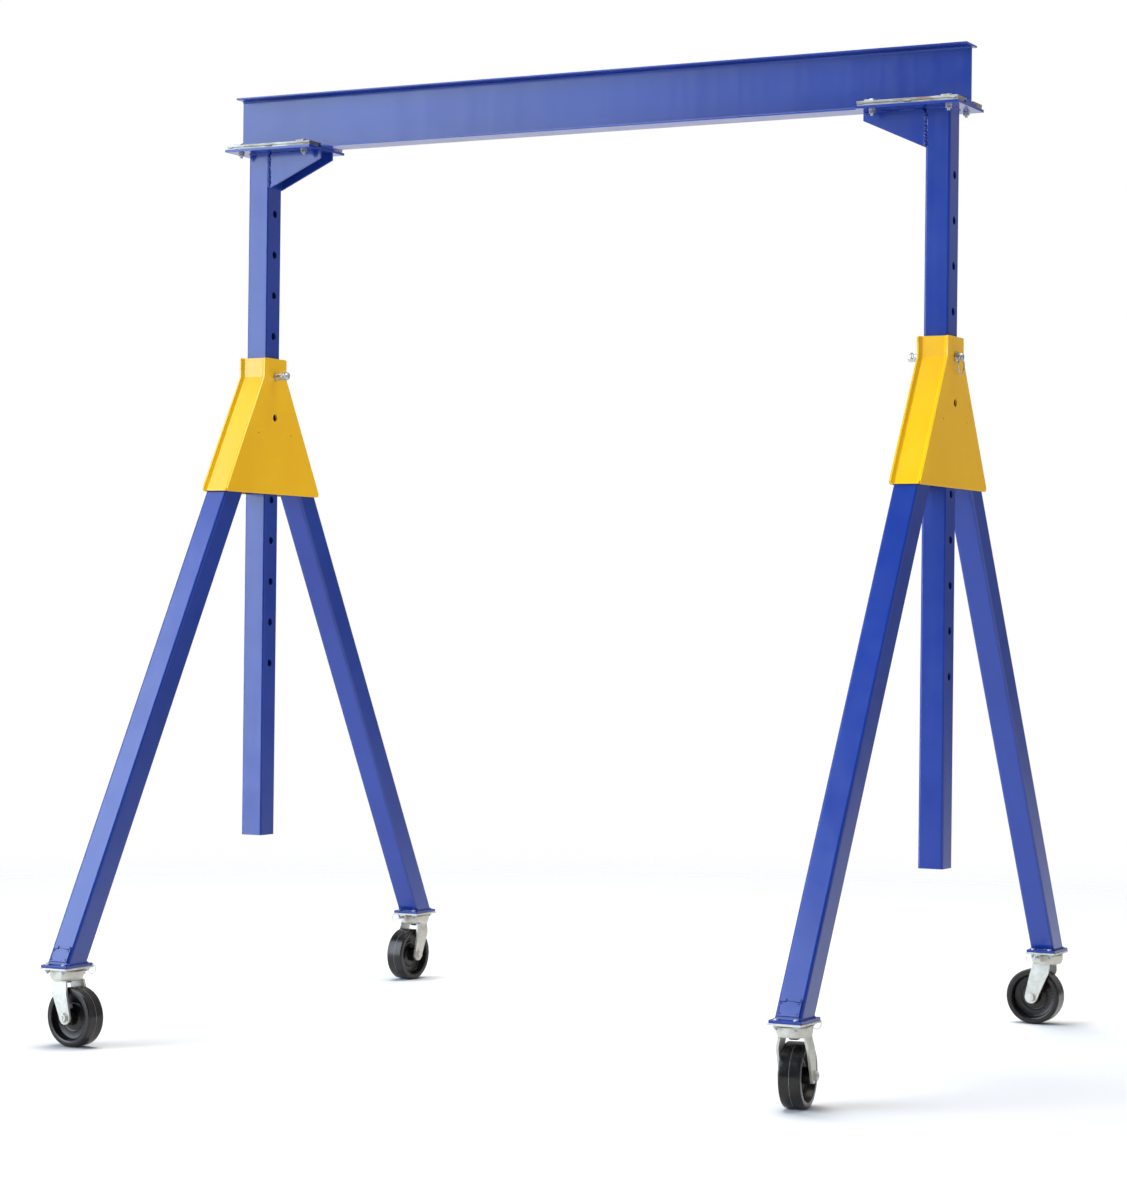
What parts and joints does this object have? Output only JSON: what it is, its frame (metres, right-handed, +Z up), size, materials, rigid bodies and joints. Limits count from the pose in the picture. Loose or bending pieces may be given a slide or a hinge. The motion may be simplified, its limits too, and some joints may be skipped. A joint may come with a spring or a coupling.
{
  "type": "portable gantry crane",
  "caption": "Steel gantry crane on swivel casters: an I-beam on square posts that slide in splayed A-frames and are held by height pins.",
  "frame": {"origin": "on the floor, under the middle of the beam", "axes": "+X along the beam to the right-hand A-frame, +Y to the rear legs, +Z up"},
  "size_m": [2.886, 2.5168, 3.4036],
  "materials": {
    "blue_paint": "gloss enamel",
    "yellow_paint": "semi-gloss enamel",
    "bare_steel": "sheared bar with surface rust",
    "zinc": "zinc plated",
    "black_resin": "moulded, glossy"
  },
  "bodies": {
    "left_leg_frame": {"left_inner_shroud_plate": "yellow_paint", "left_outer_shroud_plate": "yellow_paint", "left_front_shroud_strip": "yellow_paint", "left_front_leg": "blue_paint", "left_front_base_plate": "blue_paint", "left_front_caster_plate": "zinc", "left_rear_shroud_strip": "yellow_paint", "left_rear_leg": "blue_paint", "left_rear_base_plate": "blue_paint", "left_rear_caster_plate": "zinc"},
    "right_leg_frame": {"right_inner_shroud_plate": "yellow_paint", "right_outer_shroud_plate": "yellow_paint", "right_front_shroud_strip": "yellow_paint", "right_front_leg": "blue_paint", "right_front_base_plate": "blue_paint", "right_front_caster_plate": "zinc", "right_rear_shroud_strip": "yellow_paint", "right_rear_leg": "blue_paint", "right_rear_base_plate": "blue_paint", "right_rear_caster_plate": "zinc"},
    "upper_frame": {"beam": "blue_paint", "left_post": "blue_paint", "right_post": "blue_paint", "left_top_plate": "blue_paint", "right_top_plate": "blue_paint", "left_front_gusset": "blue_paint", "left_rear_gusset": "blue_paint", "right_front_gusset": "blue_paint", "right_rear_gusset": "blue_paint", "left_front_clamp": "bare_steel", "left_rear_clamp": "bare_steel", "right_front_clamp": "bare_steel", "right_rear_clamp": "bare_steel"},
    "left_height_pin": {"left_height_pin": "zinc"},
    "left_pin_ring": {"left_pin_ring": "zinc"},
    "left_hairpin": {"left_hairpin": "zinc"},
    "right_height_pin": {"right_height_pin": "zinc"},
    "right_pin_ring": {"right_pin_ring": "zinc"},
    "right_hairpin": {"right_hairpin": "zinc"},
    "left_front_caster": {"left_front_fork": "zinc", "left_front_axle_bolt": "zinc"},
    "left_front_wheel": {"left_front_wheel": "black_resin"},
    "left_front_lock_plunger": {"left_front_lock_plunger": "zinc"},
    "left_front_lock_ring": {"left_front_lock_ring": "zinc"},
    "left_rear_caster": {"left_rear_fork": "zinc", "left_rear_axle_bolt": "zinc"},
    "left_rear_wheel": {"left_rear_wheel": "black_resin"},
    "left_rear_lock_plunger": {"left_rear_lock_plunger": "zinc"},
    "left_rear_lock_ring": {"left_rear_lock_ring": "zinc"},
    "right_front_caster": {"right_front_fork": "zinc", "right_front_axle_bolt": "zinc"},
    "right_front_wheel": {"right_front_wheel": "black_resin"},
    "right_front_lock_plunger": {"right_front_lock_plunger": "zinc"},
    "right_front_lock_ring": {"right_front_lock_ring": "zinc"},
    "right_rear_caster": {"right_rear_fork": "zinc", "right_rear_axle_bolt": "zinc"},
    "right_rear_wheel": {"right_rear_wheel": "black_resin"},
    "right_rear_lock_plunger": {"right_rear_lock_plunger": "zinc"},
    "right_rear_lock_ring": {"right_rear_lock_ring": "zinc"}
  },
  "joints": [
    {"name": "left_height", "type": "slide", "parent": "left_leg_frame", "child": "upper_frame", "axis": [0, 0, 1], "range_m": [-0.6096, 0.3048]},
    {"name": "right_height", "type": "slide", "parent": "upper_frame", "child": "right_leg_frame", "axis": [0, 0, -1], "range_m": [-0.6096, 0.3048]},
    {"name": "left_pin_pull", "type": "slide", "parent": "left_leg_frame", "child": "left_height_pin", "axis": [-1, 0, 0], "range_m": [0, 0.04]},
    {"name": "left_pin_ring_swing", "type": "hinge", "parent": "left_height_pin", "child": "left_pin_ring", "pos_m": [-1.41755, 0, 2.3583], "axis": [0, 1, 0], "range_deg": [-12, 90]},
    {"name": "left_hairpin_pull", "type": "slide", "parent": "left_height_pin", "child": "left_hairpin", "axis": [0, 1, 0], "range_m": [0, 0.05]},
    {"name": "right_pin_pull", "type": "slide", "parent": "right_leg_frame", "child": "right_height_pin", "axis": [1, 0, 0], "range_m": [0, 0.04]},
    {"name": "right_pin_ring_swing", "type": "hinge", "parent": "right_height_pin", "child": "right_pin_ring", "pos_m": [1.41755, 0, 2.3583], "axis": [0, -1, 0], "range_deg": [-12, 90]},
    {"name": "right_hairpin_pull", "type": "slide", "parent": "right_height_pin", "child": "right_hairpin", "axis": [0, -1, 0], "range_m": [0, 0.05]},
    {"name": "left_front_swivel", "type": "hinge", "parent": "left_leg_frame", "child": "left_front_caster", "pos_m": [-1.343, -1.179, 0.24], "axis": [0, 0, 1], "continuous": true},
    {"name": "left_front_wheel_spin", "type": "hinge", "parent": "left_front_caster", "child": "left_front_wheel", "pos_m": [-1.30053, -1.18573, 0.10096], "axis": [0.1564, 0.9877, 0], "continuous": true},
    {"name": "left_front_lock_pull", "type": "slide", "parent": "left_leg_frame", "child": "left_front_lock_plunger", "axis": [0, 1, 0], "range_m": [0, 0.012], "stiffness_N_per_m": 400, "springref_m": -0.006},
    {"name": "left_front_lock_ring_swing", "type": "hinge", "parent": "left_front_lock_plunger", "child": "left_front_lock_ring", "pos_m": [-1.333, -1.0729, 0.251], "axis": [0, 0, 1], "range_deg": [-30, 90]},
    {"name": "left_rear_swivel", "type": "hinge", "parent": "left_leg_frame", "child": "left_rear_caster", "pos_m": [-1.343, 1.179, 0.24], "axis": [0, 0, 1], "continuous": true},
    {"name": "left_rear_wheel_spin", "type": "hinge", "parent": "left_rear_caster", "child": "left_rear_wheel", "pos_m": [-1.34675, 1.13616, 0.10096], "axis": [0.9962, -0.0872, 0], "continuous": true},
    {"name": "left_rear_lock_pull", "type": "slide", "parent": "left_leg_frame", "child": "left_rear_lock_plunger", "axis": [0, -1, 0], "range_m": [0, 0.012], "stiffness_N_per_m": 400, "springref_m": -0.006},
    {"name": "left_rear_lock_ring_swing", "type": "hinge", "parent": "left_rear_lock_plunger", "child": "left_rear_lock_ring", "pos_m": [-1.353, 1.0729, 0.251], "axis": [0, 0, 1], "range_deg": [-30, 90]},
    {"name": "right_front_swivel", "type": "hinge", "parent": "right_leg_frame", "child": "right_front_caster", "pos_m": [1.343, -1.179, 0.24], "axis": [0, 0, 1], "continuous": true},
    {"name": "right_front_wheel_spin", "type": "hinge", "parent": "right_front_caster", "child": "right_front_wheel", "pos_m": [1.33776, -1.13632, 0.10096], "axis": [-0.9925, -0.1219, 0], "continuous": true},
    {"name": "right_front_lock_pull", "type": "slide", "parent": "right_leg_frame", "child": "right_front_lock_plunger", "axis": [0, 1, 0], "range_m": [0, 0.012], "stiffness_N_per_m": 400, "springref_m": -0.006},
    {"name": "right_front_lock_ring_swing", "type": "hinge", "parent": "right_front_lock_plunger", "child": "right_front_lock_ring", "pos_m": [1.353, -1.0729, 0.251], "axis": [0, 0, 1], "range_deg": [-30, 90]},
    {"name": "right_rear_swivel", "type": "hinge", "parent": "right_leg_frame", "child": "right_rear_caster", "pos_m": [1.343, 1.179, 0.24], "axis": [0, 0, 1], "continuous": true},
    {"name": "right_rear_wheel_spin", "type": "hinge", "parent": "right_rear_caster", "child": "right_rear_wheel", "pos_m": [1.3, 1.179, 0.10096], "axis": [0, -1, 0], "continuous": true},
    {"name": "right_rear_lock_pull", "type": "slide", "parent": "right_leg_frame", "child": "right_rear_lock_plunger", "axis": [0, -1, 0], "range_m": [0, 0.012], "stiffness_N_per_m": 400, "springref_m": -0.006},
    {"name": "right_rear_lock_ring_swing", "type": "hinge", "parent": "right_rear_lock_plunger", "child": "right_rear_lock_ring", "pos_m": [1.333, 1.0729, 0.251], "axis": [0, 0, 1], "range_deg": [-30, 90]}
  ]
}
